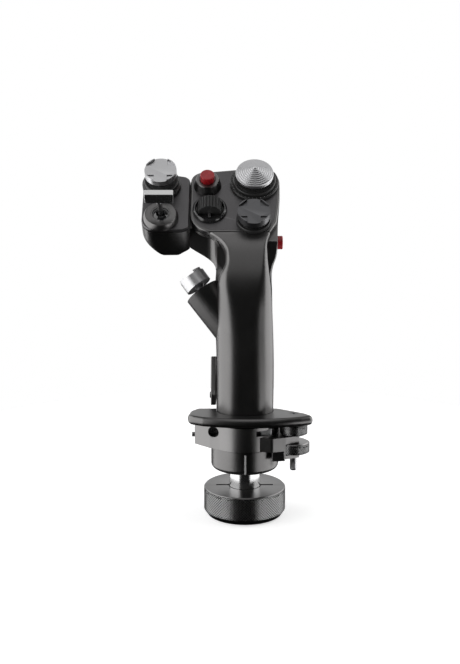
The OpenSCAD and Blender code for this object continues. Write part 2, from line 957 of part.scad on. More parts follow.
module side_button() {
    r = 4.25;
    color(red) on_side_button() difference() {
        translate([0, 0, -3]) cylinder(r = r, h = 8.6);
        translate([0, 0, -4]) cylinder(r = r - 1.2, h = 5);
    }
}

module side_button_spring() {
    color(silver) on_side_button() button_spring(-5.5);
}

locking_ring();
thrust_washer();
connector_shaft();
plug_housing();
plug_pins();
lower_collar();
clamp_collar();
clamp_screw();
set_screw();
adjust_wheel();
lock_wheel();
adjust_stud();
hand_rest();
hand_rest_screw();
core_tube();
front_shell();
rear_shell();
shell_screws();
head_panel();
pod_housing();
pod_panel();
pod_screws();
main_board();
pod_board();
wiring_harness();
side_stalk();
brake_lever();
brake_pin();
trigger();
trigger_pin();
trigger_spring();
trigger_switch();
left_hat_cap();
left_hat_gimbal();
left_hat_base();
right_hat_cap();
right_hat_gimbal();
right_hat_base();
cone_hat_cap();
cone_hat_gimbal();
cone_hat_base();
side_hat_cap();
side_hat_gimbal();
side_hat_base();
toggle_lever();
toggle_pin();
toggle_boss();
thumb_wheel();
thumb_wheel_axle();
thumb_wheel_bezel();
top_button();
top_button_collar();
top_button_spring();
side_button();
side_button_collar();
side_button_spring();
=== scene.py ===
"""Flight stick grip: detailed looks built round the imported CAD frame.

Shapes are drawn in millimetres in a local frame and placed in metres in the CAD frame.
"""
import json
import math

import bmesh
import bpy
from mathutils import Matrix, Vector


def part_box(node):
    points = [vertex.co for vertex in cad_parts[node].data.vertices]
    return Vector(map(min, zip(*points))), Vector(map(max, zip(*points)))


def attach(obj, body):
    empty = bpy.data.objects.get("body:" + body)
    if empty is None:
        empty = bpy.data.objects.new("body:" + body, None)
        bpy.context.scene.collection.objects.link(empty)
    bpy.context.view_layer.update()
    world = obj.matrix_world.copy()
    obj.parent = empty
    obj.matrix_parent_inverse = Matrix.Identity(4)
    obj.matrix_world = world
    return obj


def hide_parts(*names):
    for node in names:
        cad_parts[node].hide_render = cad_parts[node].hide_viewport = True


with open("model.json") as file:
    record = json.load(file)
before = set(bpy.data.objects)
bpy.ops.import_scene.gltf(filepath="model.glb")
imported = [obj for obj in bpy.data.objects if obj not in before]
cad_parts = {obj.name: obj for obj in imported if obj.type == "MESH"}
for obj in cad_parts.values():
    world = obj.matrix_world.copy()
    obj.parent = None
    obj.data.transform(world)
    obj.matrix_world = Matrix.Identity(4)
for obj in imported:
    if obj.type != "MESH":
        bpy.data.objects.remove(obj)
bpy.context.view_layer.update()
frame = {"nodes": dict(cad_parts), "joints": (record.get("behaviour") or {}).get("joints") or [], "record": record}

MM = 0.001
TAU = 2 * math.pi
RIGHT = Vector((1, 0, 0))
joints = {j["name"]: j for j in frame["joints"]}


# ---- Camera, lights and stage ----

def make_camera():
    """The viewpoint: in front of the grip, a little left of it and looking slightly down."""
    data = bpy.data.cameras.new("Camera")
    data.lens = 50
    data.sensor_width = 36
    camera = bpy.data.objects.new("Camera", data)
    camera.location = Vector((-9.4, -567, 214.3)) * MM
    camera.rotation_euler = (math.radians(90 - 9.7), 0, 0)
    bpy.context.scene.collection.objects.link(camera)
    bpy.context.scene.camera = camera


def area_light(name, place, target, size, radiance):
    """A soft box of that size in metres, facing target, with the given brightness of its face."""
    data = bpy.data.lights.new(name, "AREA")
    data.shape = "RECTANGLE"
    data.size, data.size_y = size
    data.energy = radiance * math.pi * size[0] * size[1]
    light = bpy.data.objects.new(name, data)
    light.location = place
    light.rotation_euler = (Vector(target) - Vector(place)).to_track_quat("-Z", "Y").to_euler()
    light.visible_camera = False
    bpy.context.scene.collection.objects.link(light)


def make_lights():
    """Soft boxes whose long reflections shape the black metal, and fill from above and behind."""
    area_light("soft_box_left", (-0.75, -0.08, 0.25), (0, -0.08, 0.25), (1.7, 1.5), 1.9)
    area_light("soft_box_right", (0.75, 0.30, 0.25), (0, 0.30, 0.25), (1.1, 1.5), 1.9)
    area_light("low_box_right", (0.75, -0.55, -0.36), (0, -0.55, -0.36), (0.8, 0.5), 1.9)
    area_light("front_top_light", (0, -0.75, 0.95), (0, 0, 0.2), (0.9, 0.6), 0.45)
    area_light("top_light", (0, -0.05, 1.2), (0, -0.05, 0), (0.9, 0.9), 0.8)
    area_light("back_light", (0, 1.3, 0.45), (0, 0, 0.25), (2.2, 1.3), 0.8)


def make_world():
    """White where the camera looks past the object, and a dim studio for everything else."""
    world = bpy.data.worlds.new("Studio")
    world.use_nodes = True
    bpy.context.scene.world = world
    nodes, links = world.node_tree.nodes, world.node_tree.links
    nodes.clear()
    output = nodes.new("ShaderNodeOutputWorld")
    mix = nodes.new("ShaderNodeMixShader")
    dim = nodes.new("ShaderNodeBackground")
    white = nodes.new("ShaderNodeBackground")
    path = nodes.new("ShaderNodeLightPath")
    dim.inputs["Color"].default_value = (0.008, 0.008, 0.008, 1)
    white.inputs["Color"].default_value = (1, 1, 1, 1)
    links.new(path.outputs["Is Camera Ray"], mix.inputs[0])
    links.new(dim.outputs[0], mix.inputs[1])
    links.new(white.outputs[0], mix.inputs[2])
    links.new(mix.outputs[0], output.inputs[0])


def make_floor():
    """A round pale table top under the ring."""
    radius = 0.3
    bm = bmesh.new()
    bmesh.ops.create_circle(bm, cap_ends=True, segments=128, radius=radius)
    bmesh.ops.translate(bm, verts=bm.verts, vec=(0, 0.05, -0.0003))
    mesh = bpy.data.meshes.new("floor")
    bm.to_mesh(mesh)
    bm.free()
    floor = bpy.data.objects.new("floor", mesh)
    bpy.context.scene.collection.objects.link(floor)
    material = bpy.data.materials.new("pale_floor")
    material.use_nodes = True
    shader = material.node_tree.nodes["Principled BSDF"]
    shader.inputs["Base Color"].default_value = (0.85, 0.85, 0.85, 1)
    shader.inputs["Roughness"].default_value = 0.9
    shader.inputs["Emission Color"].default_value = (1, 1, 1, 1)
    shader.inputs["Emission Strength"].default_value = 0.55
    mesh.materials.append(material)
    floor.visible_glossy = False


# ---- Materials ----

def surface(name, colour, metallic, roughness, grain=900, speck=0.12, bump=0.05, worn=0.0,
            stretch=(1, 1, 1), coat=0.0):
    """A surface whose colour, gloss and relief vary with a fine grain, lighter on worn edges."""
    material = bpy.data.materials.new(name)
    material.use_nodes = True
    nodes, links = material.node_tree.nodes, material.node_tree.links
    shader = nodes["Principled BSDF"]
    shader.inputs["Metallic"].default_value = metallic
    shader.inputs["Coat Weight"].default_value = coat
    coords = nodes.new("ShaderNodeTexCoord")
    mapping = nodes.new("ShaderNodeMapping")
    mapping.inputs["Scale"].default_value = stretch
    links.new(coords.outputs["Object"], mapping.inputs["Vector"])

    fine = nodes.new("ShaderNodeTexNoise")
    fine.inputs["Scale"].default_value = grain
    fine.inputs["Detail"].default_value = 5
    links.new(mapping.outputs["Vector"], fine.inputs["Vector"])
    broad = nodes.new("ShaderNodeTexNoise")
    broad.inputs["Scale"].default_value = 60
    broad.inputs["Detail"].default_value = 3
    links.new(coords.outputs["Object"], broad.inputs["Vector"])

    tint = nodes.new("ShaderNodeMix")
    tint.data_type = "RGBA"
    tint.inputs["A"].default_value = (*[c * (1 - speck) for c in colour], 1)
    tint.inputs["B"].default_value = (*[min(1, c * (1 + speck)) for c in colour], 1)
    links.new(fine.outputs["Fac"], tint.inputs["Factor"])
    result = tint.outputs["Result"]
    if worn:
        geometry = nodes.new("ShaderNodeNewGeometry")
        edges = nodes.new("ShaderNodeMapRange")
        edges.inputs["From Min"].default_value = 0.52
        edges.inputs["From Max"].default_value = 0.62
        edges.inputs["To Max"].default_value = worn
        links.new(geometry.outputs["Pointiness"], edges.inputs["Value"])
        rub = nodes.new("ShaderNodeMix")
        rub.data_type = "RGBA"
        rub.inputs["B"].default_value = (*[min(1, c * 2.2 + 0.05) for c in colour], 1)
        links.new(edges.outputs["Result"], rub.inputs["Factor"])
        links.new(result, rub.inputs["A"])
        result = rub.outputs["Result"]
    links.new(result, shader.inputs["Base Color"])

    gloss = nodes.new("ShaderNodeMapRange")
    gloss.inputs["From Min"].default_value = 0.3
    gloss.inputs["From Max"].default_value = 0.7
    gloss.inputs["To Min"].default_value = roughness * 0.92
    gloss.inputs["To Max"].default_value = roughness * 1.08
    links.new(broad.outputs["Fac"], gloss.inputs["Value"])
    links.new(gloss.outputs["Result"], shader.inputs["Roughness"])

    relief = nodes.new("ShaderNodeBump")
    relief.inputs["Strength"].default_value = bump
    relief.inputs["Distance"].default_value = 0.0001
    links.new(fine.outputs["Fac"], relief.inputs["Height"])
    links.new(relief.outputs["Normal"], shader.inputs["Normal"])
    return material


# Looks that stand for no material of the CAD
SURFACES = {
    "black_metal": surface("black_anodised", (0.155, 0.152, 0.151), 1.0, 0.34, 1400, 0.08, 0.05, 0.25),
    "panel_metal": surface("panel_anodised", (0.125, 0.122, 0.125), 1.0, 0.42, 2200, 0.2, 0.12, 0.3),
    "knurled_black": surface("knurled_anodised", (0.17, 0.168, 0.168), 1.0, 0.3, 1400, 0.1, 0.06, 0.5),
    # Lighter grey for the knurl crests: a painted highlight where the crests catch the side light.
    "crest_highlight_metal": surface("painted_crest_highlight", (0.31, 0.31, 0.31), 1.0, 0.34, 1400, 0.1, 0.05),
    "polished_steel": surface("polished_steel", (0.66, 0.66, 0.66), 1.0, 0.22, 700, 0.04, 0.04, 0,
                              (1, 1, 0.05)),
    "silver_metal": surface("silver_blasted", (0.55, 0.55, 0.56), 1.0, 0.36, 2600, 0.12, 0.14, 0.2),
    "dark_metal": surface("dark_blasted", (0.13, 0.13, 0.135), 1.0, 0.42, 2600, 0.15, 0.14, 0.3),
    "inner_metal": surface("turned_metal", (0.4, 0.4, 0.41), 1.0, 0.35, 900, 0.06, 0.08, 0, (1, 1, 8)),
    "red_plastic": surface("red_moulding", (0.40, 0.008, 0.014), 0.0, 0.34, 1500, 0.08, 0.06, 0.1,
                           coat=0.15),
    "black_plastic": surface("black_moulding", (0.018, 0.018, 0.018), 0.0, 0.42, 1500, 0.2, 0.1, 0.2),
    "gloss_black": surface("gloss_black", (0.02, 0.02, 0.021), 0.0, 0.12, 900, 0.1, 0.01, 0.1,
                           coat=0.6),
    "steel": surface("machined_steel", (0.55, 0.55, 0.56), 1.0, 0.28, 1200, 0.06, 0.06, 0.1),
    "gold_contact": surface("gold_contact", (0.85, 0.62, 0.25), 1.0, 0.22, 900, 0.05, 0.03),
    "circuit_green": surface("circuit_board", (0.02, 0.12, 0.05), 0.0, 0.35, 500, 0.3, 0.1),
    # Light grey for the hat bases' small index dots, and for the painted highlight strip in the lower collar's
    # groove.
    "light_marks_and_groove_highlight": surface("marks_and_painted_groove_highlight", (0.3, 0.3, 0.3), 0.0, 0.5, 1500, 0.1, 0.05),
}


# ---- Mesh tools (local millimetres) ----

def local_frame(origin, x_axis, z_axis):
    """A frame in metres: its origin and its X and Z directions."""
    z = Vector(z_axis).normalized()
    x = Vector(x_axis).normalized()
    y = z.cross(x)
    m = Matrix.Identity(4)
    for i in range(3):
        m[i][0], m[i][1], m[i][2], m[i][3] = x[i], y[i], z[i], origin[i]
    return m


WORLD = Matrix.Identity(4)
# Takes an outline drawn in side view (depth, height) and its thickness across to X
SIDE_VIEW = Matrix(((0, 0, 1, 0), (1, 0, 0, 0), (0, 1, 0, 0), (0, 0, 0, 1)))


def to_mm(matrix):
    """The same frame with its origin in millimetres."""
    out = matrix.copy()
    for i in range(3):
        out[i][3] /= MM
    return out


def new_object(name, verts, faces):
    """A mesh object with merged points and faces that look outwards."""
    mesh = bpy.data.meshes.new(name)
    mesh.from_pydata([tuple(v) for v in verts], [], faces)
    mesh.validate()
    bm = bmesh.new()
    bm.from_mesh(mesh)
    bmesh.ops.remove_doubles(bm, verts=bm.verts, dist=1e-4)
    bmesh.ops.recalc_face_normals(bm, faces=bm.faces)
    bm.to_mesh(mesh)
    bm.free()
    obj = bpy.data.objects.new(name, mesh)
    bpy.context.scene.collection.objects.link(obj)
    return obj


def arc(cx, cy, r, from_deg, to_deg, steps=8):
    """Points along an arc about (cx, cy), both ends included."""
    turn = [math.radians(from_deg + (to_deg - from_deg) * i / steps) for i in range(steps + 1)]
    return [(cx + r * math.cos(a), cy + r * math.sin(a)) for a in turn]


def rounded(points, radius, steps=5):
    """A closed outline with its corners rounded; radius is one number or one per point."""
    out = []
    count = len(points)
    radii = radius if isinstance(radius, (list, tuple)) else [radius] * count
    for i, p in enumerate(points):
        p = Vector(p)
        to_last = Vector(points[i - 1]) - p
        to_next = Vector(points[(i + 1) % count]) - p
        half = to_last.angle(to_next) / 2
        if radii[i] <= 0 or half > math.radians(88):
            out.append(tuple(p))
            continue
        cut = min(radii[i] / math.tan(half), 0.45 * to_last.length, 0.45 * to_next.length)
        a = p + to_last.normalized() * cut
        b = p + to_next.normalized() * cut
        for k in range(steps + 1):
            t = k / steps
            out.append(tuple(a * (1 - t) ** 2 + p * 2 * t * (1 - t) + b * t ** 2))
    return out


def inset(outline, d):
    """The closed outline moved inwards by d (it runs anticlockwise)."""
    out = []
    count = len(outline)
    for i in range(count):
        p = Vector(outline[i])
        before = (p - Vector(outline[i - 1])).normalized()
        after = (Vector(outline[(i + 1) % count]) - p).normalized()
        normal = Vector((-(before.y + after.y), before.x + after.x)).normalized()
        share = max(0.3, normal.dot(Vector((-after.y, after.x))))
        out.append(tuple(p + normal * d / share))
    return out


def smooth_curve(points, t):
    """Value at t of a smooth curve through (t, value) points."""
    if t <= points[0][0]:
        return points[0][1]
    if t >= points[-1][0]:
        return points[-1][1]
    i = max(k for k in range(len(points) - 1) if points[k][0] <= t)

    def slope(k):
        if k <= 0 or k >= len(points) - 1:
            return 0.0
        rise_a = (points[k][1] - points[k - 1][1]) / (points[k][0] - points[k - 1][0])
        rise_b = (points[k + 1][1] - points[k][1]) / (points[k + 1][0] - points[k][0])
        return 0.0 if rise_a * rise_b < 0 else (rise_a + rise_b) / 2

    (t0, v0), (t1, v1) = points[i], points[i + 1]
    h = t1 - t0
    s = (t - t0) / h
    return (v0 * (2 * s ** 3 - 3 * s ** 2 + 1) + slope(i) * h * (s ** 3 - 2 * s ** 2 + s)
            + v1 * (3 * s ** 2 - 2 * s ** 3) + slope(i + 1) * h * (s ** 3 - s ** 2))


def fillet_gap(r, past):
    """How far a quarter round of radius r has pulled in, this far past its start."""
    return r - math.sqrt(max(0, r ** 2 - min(max(0, past), r) ** 2))


def revolve(name, profile, segments=128, closed=True):
    """A (radius, height) profile turned about Z."""
    verts, faces = [], []
    n = len(profile)
    for k in range(segments):
        a = TAU * k / segments
        for r, z in profile:
            verts.append((r * math.cos(a), r * math.sin(a), z))
    for k in range(segments):
        m = (k + 1) % segments
        for i in range(n if closed else n - 1):
            j = (i + 1) % n
            faces.append((k * n + i, m * n + i, m * n + j, k * n + j))
    return new_object(name, verts, faces)


def prism(name, outline, low, high):
    """A closed outline pulled up along Z."""
    n = len(outline)
    verts = [(x, y, low) for x, y in outline] + [(x, y, high) for x, y in outline]
    faces = [tuple(range(n))[::-1], tuple(range(n, 2 * n))]
    faces += [(i, (i + 1) % n, n + (i + 1) % n, n + i) for i in range(n)]
    return new_object(name, verts, faces)


def block(name, low, high):
    """A box between two opposite corners."""
    (x0, y0, z0), (x1, y1, z1) = low, high
    return prism(name, [(x0, y0), (x1, y0), (x1, y1), (x0, y1)], z0, z1)


def disc(name, r, low, high, at=(0, 0), segments=64):
    """A round plug along Z."""
    return prism(name, arc(at[0], at[1], r, 0, 360 - 360 / segments, segments - 1), low, high)


def loft(name, rings, closed=True):
    """Skins a stack of closed point loops and caps both ends."""
    n = len(rings[0])
    verts = [p for ring in rings for p in ring]
    faces = []
    for k in range(len(rings) - 1):
        for i in range(n):
            j = (i + 1) % n
            faces.append((k * n + i, k * n + j, (k + 1) * n + j, (k + 1) * n + i))
    if closed:
        faces.append(tuple(range(n))[::-1])
        faces.append(tuple(range((len(rings) - 1) * n, len(rings) * n)))
    return new_object(name, verts, faces)


def shell_loft(name, outer, inner):
    """Skins a wall between matching open outer and inner paths, stacked."""
    n = len(outer[0])
    rings = [o + i[::-1] for o, i in zip(outer, inner)]
    obj = loft(name, rings, closed=False)
    bm = bmesh.new()
    bm.from_mesh(obj.data)
    bm.verts.ensure_lookup_table()
    for k in (0, len(rings) - 1):
        for i in range(n - 1):
            ring = [Vector(p) for p in (outer[k][i], outer[k][i + 1], inner[k][i + 1], inner[k][i])]
            found = [min(bm.verts, key=lambda v: (v.co - p).length_squared) for p in ring]
            if len(set(found)) > 2 and not bm.faces.get(found):
                bm.faces.new(list(dict.fromkeys(found)))
    bmesh.ops.recalc_face_normals(bm, faces=bm.faces)
    bm.to_mesh(obj.data)
    bm.free()
    return obj


def bake(obj):
    """Applies every modifier on obj."""
    graph = bpy.context.evaluated_depsgraph_get()
    mesh = bpy.data.meshes.new_from_object(obj.evaluated_get(graph))
    obj.modifiers.clear()
    obj.data = mesh
    return obj


def placed(obj, frame_mm):
    """Moves the object's points into another local frame."""
    obj.data.transform(frame_mm)
    return obj


def face_outwards(obj):
    """Turns every face to look outwards, after a mirroring transform."""
    bm = bmesh.new()
    bm.from_mesh(obj.data)
    bmesh.ops.recalc_face_normals(bm, faces=bm.faces)
    bm.to_mesh(obj.data)
    bm.free()
    return obj


def combine(obj, operation, *others):
    """One boolean of obj with each of the others, which are used up."""
    for other in others:
        change = obj.modifiers.new(operation, "BOOLEAN")
        change.operation = operation
        change.solver = "EXACT"
        change.object = other
    bake(obj)
    for other in others:
        bpy.data.objects.remove(other)
    return obj


def cut(obj, *others):
    return combine(obj, "DIFFERENCE", *others)


def add(obj, *others):
    return combine(obj, "UNION", *others)


def keep(obj, *others):
    return combine(obj, "INTERSECT", *others)


def join(obj, *others):
    """Puts the meshes of several objects in one object, without a boolean."""
    bm = bmesh.new()
    for part in (obj, *others):
        bm.from_mesh(part.data)
    bm.to_mesh(obj.data)
    bm.free()
    for other in others:
        bpy.data.objects.remove(other)
    return obj


def soften(obj, width, segments=3, angle=32):
    """Rounds the sharp edges."""
    bevel = obj.modifiers.new("edges", "BEVEL")
    bevel.width = width
    bevel.segments = segments
    bevel.limit_method = "ANGLE"
    bevel.angle_limit = math.radians(angle)
    bevel.miter_outer = "MITER_ARC"
    return bake(obj)


def piece(obj, body, slot, nodes=(), where=WORLD, sharp=50):
    """Finishes a piece: shading, place, material, the body it rides on, the nodes it stands for."""
    assert len(obj.data.polygons) > 5, obj.name + " has no faces"
    bm = bmesh.new()
    bm.from_mesh(obj.data)
    for face in bm.faces:
        face.smooth = True
    for edge in bm.edges:
        edge.smooth = not (len(edge.link_faces) == 2
                           and edge.calc_face_angle(0) > math.radians(sharp))
    bm.to_mesh(obj.data)
    bm.free()
    weigh = obj.modifiers.new("weighted", "WEIGHTED_NORMAL")
    weigh.keep_sharp = True
    bake(obj)
    obj.data.transform(where @ Matrix.Scale(MM, 4))
    obj.data.materials.clear()
    obj.data.materials.append(SURFACES[slot])
    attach(obj, body)
    if nodes:
        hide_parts(*nodes)
    return obj


def knurl(name, r, low, high, count, rows, depth=0.4, slope=0.34):
    """A band round Z of raised crossing lines with sunk diamonds between them."""
    across, up = 2 * count, 2 * rows
    back = r - 2 * depth
    verts, faces = [], []

    def point(i, k, out):
        a = TAU * i / across
        verts.append((out * math.cos(a), out * math.sin(a), low + (high - low) * k / up))
        return len(verts) - 1

    def cell(corners):
        ci = sum(c[0] for c in corners) / len(corners)
        ck = sum(c[1] for c in corners) / len(corners)
        rim = [point(i, k, r) for i, k in corners]
        pit = [point(i + (ci - i) * slope, k + (ck - k) * slope, r - depth) for i, k in corners]
        faces.append(tuple(pit))
        for n in range(len(corners)):
            m = (n + 1) % len(corners)
            faces.append((rim[n], rim[m], pit[m], pit[n]))

    for k in range(up + 1):
        for i in range((k + 1) % 2, across, 2):
            if 0 < k < up:
                cell([(i - 1, k), (i, k - 1), (i + 1, k), (i, k + 1)])
            elif k == 0:
                cell([(i - 1, 0), (i + 1, 0), (i, 1)])
            else:
                cell([(i - 1, up), (i, up - 1), (i + 1, up)])
    for k in (0, up):
        for i in range(0, across, 2):
            faces.append((point(i, k, r), point(i + 2, k, r), point(i + 2, k, back), point(i, k, back)))
    for i in range(0, across, 2):
        faces.append((point(i, 0, back), point(i + 2, 0, back), point(i + 2, up, back), point(i, up, back)))
    return new_object(name, verts, faces)


def knurl_crests(name, r, low, high, count, rows, width=0.42, depth=0.4):
    """Narrow strips along both families of a knurl's crossing lines, in a lighter colour: a painted highlight on
    the knurl's crests.
    """
    up = 2 * rows
    crest, foot = width / 2, width / 2 + 0.12
    across = ((foot, r - depth), (crest, r), (-crest, r), (-foot, r - depth))
    verts, faces = [], []
    for lean in (-1, 1):
        for line in range(count):
            start = len(verts)
            for k in range(up + 1):
                a = TAU * (2 * line + lean * k) / (2 * count)
                z = low + (high - low) * k / up
                for half, out in across:
                    b = a + half / r
                    verts.append((out * math.cos(b), out * math.sin(b), z))
            for k in range(up):
                for i in range(3):
                    n = start + 4 * k + i
                    faces.append((n, n + 1, n + 5, n + 4))
    return new_object(name, verts, faces)


# ---- Frames of the panel and of its controls ----

SLOPE = Vector(joints["roller_turn"]["axis"])
OUT = RIGHT.cross(SLOPE)
# The toggle's place on the panel: millimetres across and up the slope
TOGGLE_AT = (-52.5, 11.3)
# How far each pivot sits over the panel
PIVOT_N = {"toggle_tilt": 0.5, "roller_turn": 1.2, "left_hat_tilt_up": -1, "right_hat_tilt_up": -1,
           "cone_hat_tilt_up": -1}


def surface_point(joint):
    """The panel point under a joint."""
    return Vector(joints[joint]["pos_m"]) - OUT * PIVOT_N[joint] * MM


PANEL = local_frame(surface_point("toggle_tilt") - RIGHT * TOGGLE_AT[0] * MM
                    - SLOPE * TOGGLE_AT[1] * MM, RIGHT, OUT)
PANEL_MM = to_mm(PANEL)


def control(joint):
    """The frame of a control: it stands on the panel under the joint."""
    return local_frame(surface_point(joint), RIGHT, OUT)


def panel_spot(joint):
    """Where a joint's control stands on the panel: millimetres across and up the slope."""
    if joint == "top_button_press":
        low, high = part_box("top_button")
        place = (low + high) / 2
    else:
        place = Vector(joints[joint]["pos_m"])
    spot = PANEL_MM.inverted() @ (place / MM)
    return spot.x, spot.y


def side_hat_frame():
    """The side hat's frame, 1 mm outwards of its pivot."""
    up_axis = Vector(joints["side_hat_tilt_side"]["axis"])
    x_axis = Vector(joints["side_hat_tilt_up"]["axis"])
    out = x_axis.cross(up_axis)
    return local_frame(Vector(joints["side_hat_tilt_up"]["pos_m"]) + out * MM, x_axis, out)


def side_button_frame():
    """The flank button's frame: Z points out of the flank, 3 mm from the button's inner end."""
    low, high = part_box("side_button")
    return local_frame((low.x + 3 * MM, (low.y + high.y) / 2, (low.z + high.z) / 2), (0, 0, -1), RIGHT)


SIDE_HAT = side_hat_frame()
SIDE_BUTTON = side_button_frame()
SIDE_BUTTON_MM = to_mm(SIDE_BUTTON)
STALK_LEAN = math.radians(-37.5)
STALK_LEN = 31
STALK_WAY = Vector((math.sin(STALK_LEAN), 0, math.cos(STALK_LEAN)))
STALK = local_frame(Vector(SIDE_HAT.translation) - STALK_WAY * STALK_LEN * MM,
                    (math.cos(STALK_LEAN), 0, -math.sin(STALK_LEAN)), STALK_WAY)
STALK_MM = to_mm(STALK)


# ---- Coupling ring, shaft and collars ----

def make_ring():
    """The coupling ring: a knurled band with two slots in its top, for a pin spanner."""
    ring_h, r, band_low, band_high = 18, 26, 3.3, 17.2
    count, rows = 96, 8
    body = revolve("coupling_ring_detail", [
        (16.9, 0), *arc(23.4, 0.6, 0.6, -90, -30, 3), (25.75, 3.0), (25.2, band_low), (25.2, band_high),
        (25.75, 17.35), *arc(25.15, ring_h - 0.35, 0.35, 20, 90, 3), (10.4, ring_h), (10.4, 15.1),
        (17.3, 15.1), (17.3, 10), (16.9, 10)], 192)
    slots = [block("slot", (side * 14.2 - 4, -1, ring_h - 1), (side * 14.2 + 4, 1, ring_h + 1))
             for side in (-1, 1)]
    cut(body, *slots)
    join(body, knurl("knurl", r, band_low, band_high, count, rows, 0.5, 0.42))
    piece(body, "coupling_ring", "knurled_black", ["locking_ring"], sharp=40)
    # Lighter strips on the knurl crests: a painted highlight.
    crests = knurl_crests("coupling_crests_detail", r, band_low, band_high, count, rows)
    piece(crests, "coupling_ring", "crest_highlight_metal", sharp=20)


def make_shaft():
    """The connector shaft with the flange that the ring pulls on."""
    shaft = revolve("connector_shaft_detail", rounded([
        (6.5, 11.5), (15.9, 11.5), (15.9, 14), (10, 14), (10, 45.9), (6.5, 45.9)], 0.25, 3), 160)
    piece(shaft, "grip", "polished_steel", ["connector_shaft"])


def make_lower_collar():
    """The round-bottomed collar with its index groove, and a light grey strip in the groove that paints the
    highlights along the groove's edges.
    """
    r, low, high = 21.35, 30.6, 45.7
    collar = revolve("lower_collar_detail", [
        (10.05, low), *arc(r - 3, low + 3, 3, -90, 0, 10), *arc(r - 0.4, high - 0.4, 0.4, 0, 90, 3),
        (10.05, high)], 160)
    cut(collar, block("groove", (-0.6, -r - 1, low + 1.1), (0.6, -r + 0.6, high - 1.5)))
    soften(collar, 0.15, 2, 60)
    piece(collar, "grip", "black_metal", ["lower_collar"])
    # A light grey strip filling the groove: a painted highlight along the groove's edges.
    line = block("groove_highlight_line_detail", (-0.55, -r - 0.01, low + 1.2), (0.55, -r + 0.5, high - 1.6))
    piece(line, "grip", "light_marks_and_groove_highlight")


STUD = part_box("adjust_stud")
STUD_AT = ((STUD[0].x + STUD[1].x) / 2 / MM, (STUD[0].y + STUD[1].y) / 2 / MM)
AT_STUD = Matrix.Translation((*STUD_AT, 0))


def make_clamp_collar():
    """The split collar: a round body with a lobe at its left and an L-shaped arm at its right."""
    low, high, arm_top, arm_low = 46, 61, 54.6, 40.8
    lobe = rounded([(-22.1, 4), (-31.7, 4), (-31.7, -2.3), (-21.9, -12.1), (-16.7, -15.2)],
                   [0, 1, 0.8, 0.5, 0], 4)[1:-1]
    collar = prism("clamp_collar_detail", [*arc(0, 0, 22.5, -136, 169, 110), *lobe], low, high)
    plan = rounded([(9, -20.6), (16.3, -21.9), (25, -18.8), (33.7, -14.8), (33.7, -3.5), (20, 6), (9, 6)],
                   [0, 4, 8, 1.2, 1.2, 1, 0], 8)
    arm = prism("arm", plan, low + 0.02, arm_top)
    leg = prism("leg", plan, arm_low, arm_top)
    keep(leg, block("leg_span", (24, -30, arm_low - 1), (40, 10, arm_top + 1)))
    foot_plan = rounded([(16.4, -18.4), (24.5, -17.4), (24.5, -10), (19.6, -10)], [0.5, 0, 0, 0], 4)
    foot = prism("foot", foot_plan, 39.2, 47)
    cut(foot, disc("foot_room", 21.7, 30, 45.98, segments=128))
    add(collar, arm, leg, foot)
    socket_frame = local_frame((-19.7, -12.5, 56.8), RIGHT, (0, -1, 0))
    # A thin near-black sleeve inside the screw socket: painted shade on the hole's walls.
    socket_shade_sleeve = placed(disc("clamp_socket_shade_detail", 3.33, -8, 12), socket_frame)
    cut(socket_shade_sleeve, placed(disc("inside", 3.05, -9, 13), socket_frame),
        block("flush", (-26, -30, low), (-10, -13.4, high)))
    piece(socket_shade_sleeve, "grip", "black_plastic")
    cut(collar, disc("bore", 10.05, low - 1, high + 1, segments=96),
        disc("lock_well", 8.9, arm_top, high + 1, STUD_AT),
        disc("adjust_slot", 10.3, 43, 50.2, STUD_AT),
        disc("stud_hole", 2.25, arm_low - 1, high, STUD_AT),
        placed(disc("socket", 3.35, -9, 12), socket_frame),
        block("window", (6.8, -25, 55.8), (17.6, -15, 59.2)))
    soften(collar, 0.45, 3, 38)
    piece(collar, "grip", "black_metal", ["clamp_collar"], sharp=35)
    bar_plan = rounded([(9.6, -18.6), (16.2, -17), (16.2, -14.2), (9.6, -14.2)], 0.4)
    piece(soften(prism("clamp_bar_detail", bar_plan, 55, 60), 0.3), "grip", "steel")
    # A near-black block filling the window's back round the bar: painted shade in the recess.
    window_shade_plan = [(6.9, -17.6), (17.2, -15.6), (17.2, -11.4), (11.4, -11.4)]
    piece(prism("clamp_window_shade_detail", window_shade_plan, 55.9, 59.1), "grip", "black_plastic")


def knurled_wheel(name, r, low, high, count, rows, body, node):
    """A flat knurled wheel round the height stud."""
    rim = 0.5
    core = revolve(name, [(2.25, low), (r - 1, low), (r - 0.7, low + rim), (r - 0.9, low + rim),
                          (r - 0.9, high - rim), (r - 0.7, high - rim), (r - 1, high), (2.25, high)], 96)
    join(core, knurl("knurl", r, low + rim, high - rim, count, rows, 0.45))
    placed(core, AT_STUD)
    piece(core, body, "knurled_black", [node], sharp=40)
    # Lighter strips on the knurl crests: a painted highlight.
    crests = knurl_crests(name.replace("detail", "crests"), r, low + rim, high - rim, count, rows, 0.26)
    placed(crests, AT_STUD)
    piece(crests, body, "crest_highlight_metal", sharp=20)


def make_adjuster():
    """The height wheel, the lock wheel over it and the threaded stud through both."""
    low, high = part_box("adjust_wheel")
    knurled_wheel("height_wheel_detail", 10, low.z / MM, high.z / MM, 44, 3, "adjuster", "adjust_wheel")
    low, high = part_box("lock_wheel")
    knurled_wheel("lock_wheel_detail", 8.6, low.z / MM, high.z / MM, 38, 3, "locker", "lock_wheel")
    foot, top = STUD[0].z / MM, STUD[1].z / MM
    crest, root, half_pitch, thread_top = 2.2, 1.98, 0.4, 52
    turns = [(crest if k % 2 else root, foot + 0.7 + k * half_pitch)
             for k in range(int((thread_top - foot) / half_pitch))]
    stud = revolve("height_stud_detail", [(0.01, foot), (1.7, foot), *turns, (crest, top - 8), (crest, top),
                                          (0.01, top)], 48)
    placed(stud, AT_STUD)
    piece(stud, "palm_rest", "steel", ["adjust_stud"], sharp=30)


# ---- Hand rest ----

